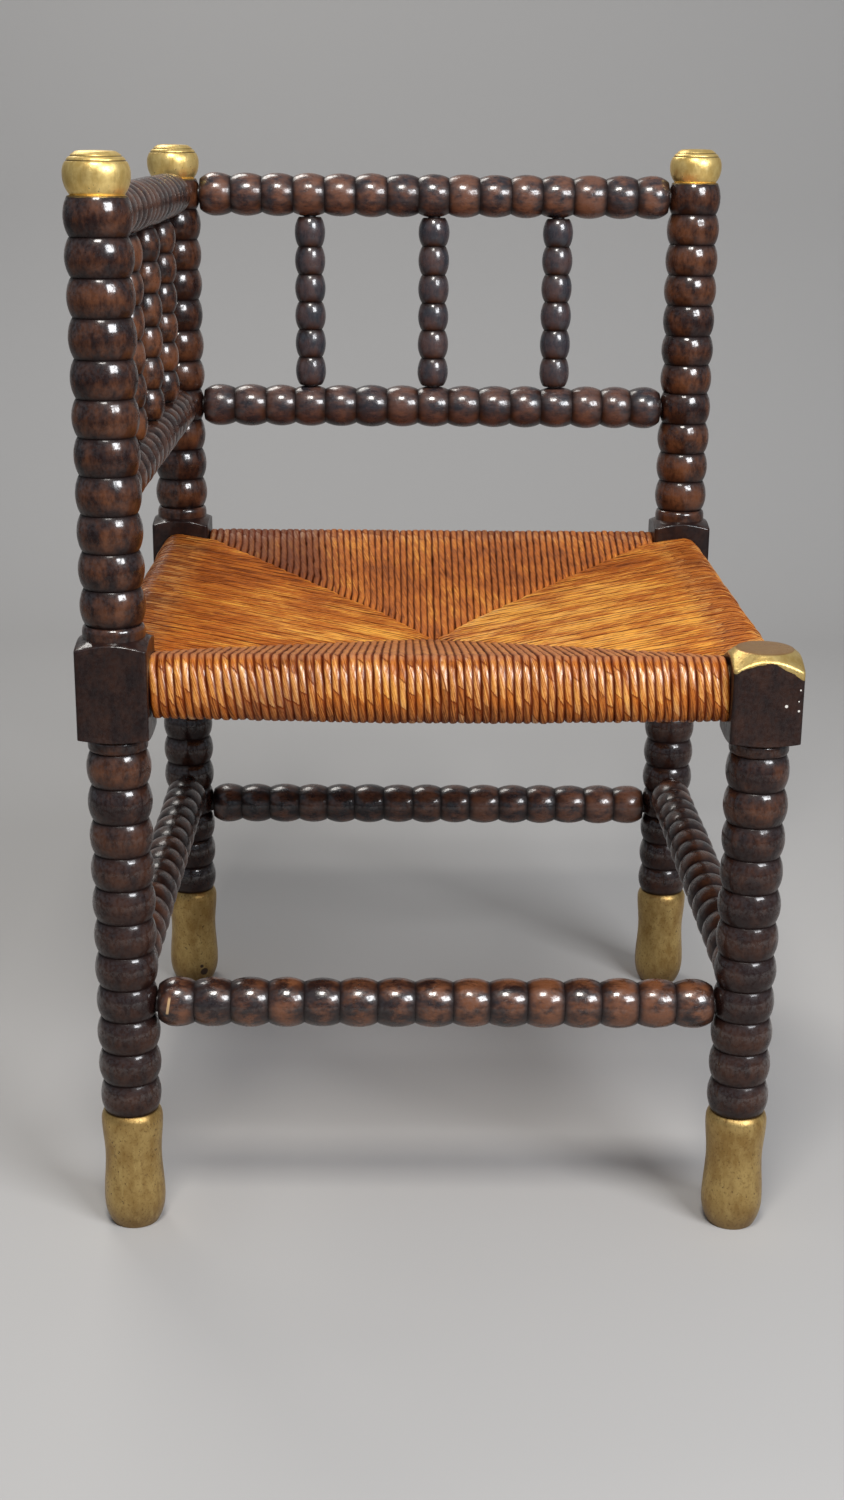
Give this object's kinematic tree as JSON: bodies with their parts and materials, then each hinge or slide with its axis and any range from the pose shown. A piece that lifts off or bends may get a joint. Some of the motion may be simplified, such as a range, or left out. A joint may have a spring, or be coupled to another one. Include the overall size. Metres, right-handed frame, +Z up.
{
  "type": "corner chair",
  "caption": "Low corner chair with bobbin-turned posts, rails and spindles on two adjoining sides, gold-painted feet and finials, and a dished woven rush seat.",
  "frame": {"origin": "on the floor, under the middle of the square formed by the four posts", "axes": "+Z up; the front of the chair faces -Y, so +Y is the back and -X the left side, where the open panels stand"},
  "size_m": [0.453, 0.453, 0.7006],
  "materials": {
    "post_wood": "gloss",
    "rail_wood": "gloss",
    "spindle_wood": "gloss",
    "seat_rail_wood": "matte",
    "rush": "satin",
    "loose_rush": "matte"
  },
  "bodies": {
    "root": {"post_front_left": "post_wood", "post_back_left": "post_wood", "post_back_right": "post_wood", "post_front_right": "post_wood", "stretcher_front": "rail_wood", "stretcher_back": "rail_wood", "stretcher_left": "rail_wood", "stretcher_right": "rail_wood", "top_rail_back": "rail_wood", "lower_rail_back": "rail_wood", "top_rail_left": "rail_wood", "lower_rail_left": "rail_wood", "spindle_back_1": "spindle_wood", "spindle_back_2": "spindle_wood", "spindle_back_3": "spindle_wood", "spindle_left_1": "spindle_wood", "spindle_left_2": "spindle_wood", "spindle_left_3": "spindle_wood", "seat_rail_front": "seat_rail_wood", "seat_rail_back": "seat_rail_wood", "seat_rail_left": "seat_rail_wood", "seat_rail_right": "seat_rail_wood", "rush_seat": "rush", "rush_stuffing_front": "loose_rush", "rush_stuffing_back": "loose_rush", "rush_stuffing_left": "loose_rush", "rush_stuffing_right": "loose_rush"}
  },
  "joints": []
}
